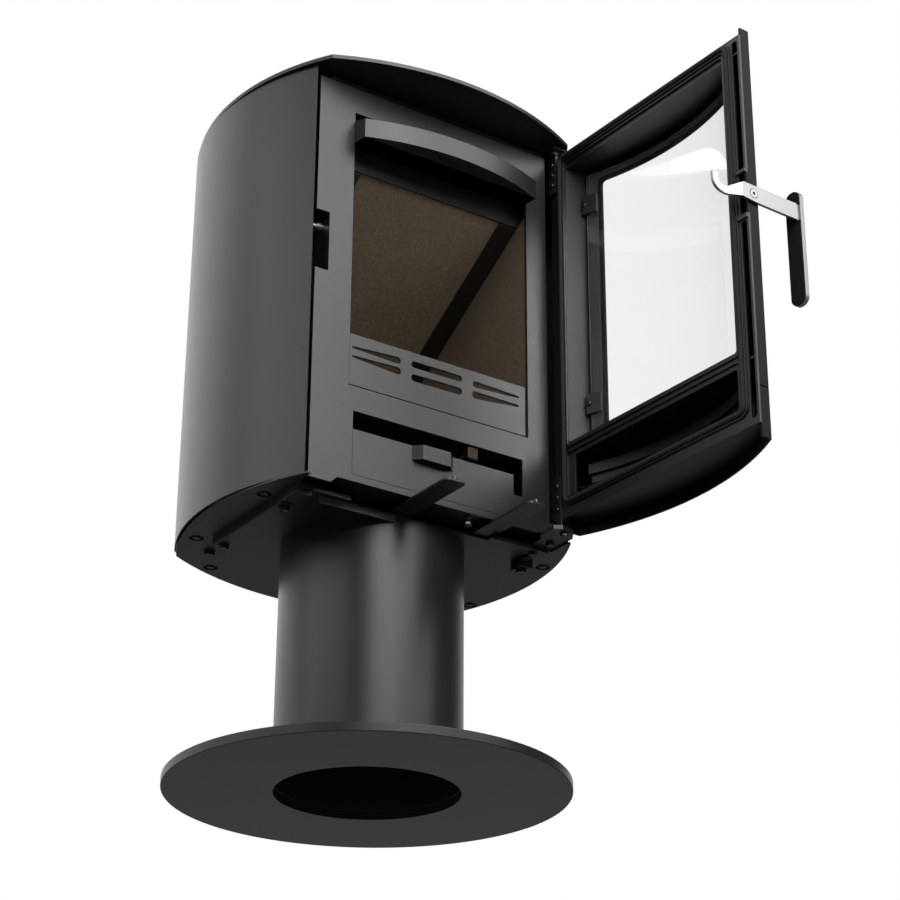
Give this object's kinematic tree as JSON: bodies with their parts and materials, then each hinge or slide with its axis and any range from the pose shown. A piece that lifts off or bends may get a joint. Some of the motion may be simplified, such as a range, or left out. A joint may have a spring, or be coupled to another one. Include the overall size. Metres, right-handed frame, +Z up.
{
  "type": "pedestal wood stove",
  "caption": "Bowed steel wood stove on a round pedestal foot, with a curved glass door standing open, a lined firebox, an ash pan, air levers and a flue collar on top.",
  "frame": {"origin": "centre of the underside of the round foot, on the floor", "axes": "+Z up, the fire opening faces -Y, +X is to the right of someone looking at the front"},
  "size_m": [0.5323, 0.7835, 0.948],
  "materials": {
    "black_paint": "satin",
    "firebox_steel": "matt",
    "vermiculite": "rough",
    "cast_grate": "rough",
    "stove_glass": "clear",
    "glass_fibre": "matt",
    "stainless": "brushed",
    "heat_pad": "matt",
    "zinc_steel": "bright"
  },
  "bodies": {
    "stove_body": {"foot_disc": "black_paint", "pedestal_tube": "black_paint", "bottom_plate": "black_paint", "inlet_strip": "black_paint", "bottom_rails": "black_paint", "underside_bolts": "zinc_steel", "firebox_left": "firebox_steel", "firebox_right": "firebox_steel", "firebox_back": "firebox_steel", "firebox_floor": "firebox_steel", "firebox_roof": "firebox_steel", "front_plate": "black_paint", "log_guard": "firebox_steel", "air_wash_hood": "firebox_steel", "brick_left": "vermiculite", "brick_right": "vermiculite", "brick_back": "vermiculite", "baffle_plate": "vermiculite", "baffle_rails": "firebox_steel", "grate_plate": "cast_grate", "air_valve_plate": "firebox_steel", "lever_guide_bolt": "zinc_steel", "jacket_left": "black_paint", "jacket_right": "black_paint", "back_panel": "black_paint", "rear_flue_cover": "black_paint", "casing_brackets": "firebox_steel", "top_plate": "black_paint", "flue_collar": "black_paint", "upper_hinge_arm": "firebox_steel", "lower_hinge_plate": "firebox_steel", "hinge_pins": "zinc_steel", "hinge_washer": "zinc_steel", "catch_pin": "zinc_steel"},
    "door": {"door_skin": "black_paint", "door_skin_lower": "black_paint", "door_frame": "firebox_steel", "rope_seal": "glass_fibre", "door_end_plates": "firebox_steel", "door_glass": "stove_glass", "glass_gasket": "glass_fibre", "glass_clips": "firebox_steel", "door_air_guide": "firebox_steel", "door_hinges": "firebox_steel", "door_screws": "zinc_steel"},
    "handle": {"handle_lever": "stainless", "handle_grip": "stainless", "grip_pad": "heat_pad", "handle_shaft": "stainless", "latch_hook": "stainless"},
    "ash_drawer": {"ash_pan": "firebox_steel", "ash_pan_front": "black_paint", "ash_pan_handle": "firebox_steel"},
    "primary_air": {"primary_air_lever": "black_paint", "primary_lever_pins": "zinc_steel"},
    "secondary_air": {"secondary_air_lever": "black_paint", "secondary_lever_pins": "zinc_steel"},
    "riddling": {"riddling_grate": "cast_grate", "riddling_rod": "zinc_steel", "riddling_knob": "zinc_steel"}
  },
  "joints": [
    {"name": "door_hinge", "type": "hinge", "parent": "stove_body", "child": "door", "pos_m": [0.178, -0.162, 0.6], "axis": [0, 0, 1], "range_deg": [-92, 0]},
    {"name": "handle_pivot", "type": "hinge", "parent": "door", "child": "handle", "pos_m": [0.19964, -0.52947, 0.6545], "axis": [-0.0349, 0.9994, 0], "range_deg": [-35, 16]},
    {"name": "ash_pan_slide", "type": "slide", "parent": "stove_body", "child": "ash_drawer", "axis": [0, -1, 0], "range_m": [0, 0.25]},
    {"name": "primary_air_slide", "type": "slide", "parent": "stove_body", "child": "primary_air", "axis": [1, 0, 0], "range_m": [-0.06, 0.02]},
    {"name": "secondary_air_slide", "type": "slide", "parent": "stove_body", "child": "secondary_air", "axis": [1, 0, 0], "range_m": [-0.02, 0.04]},
    {"name": "riddling_slide", "type": "slide", "parent": "stove_body", "child": "riddling", "axis": [0, -1, 0], "range_m": [0, 0.02]}
  ]
}
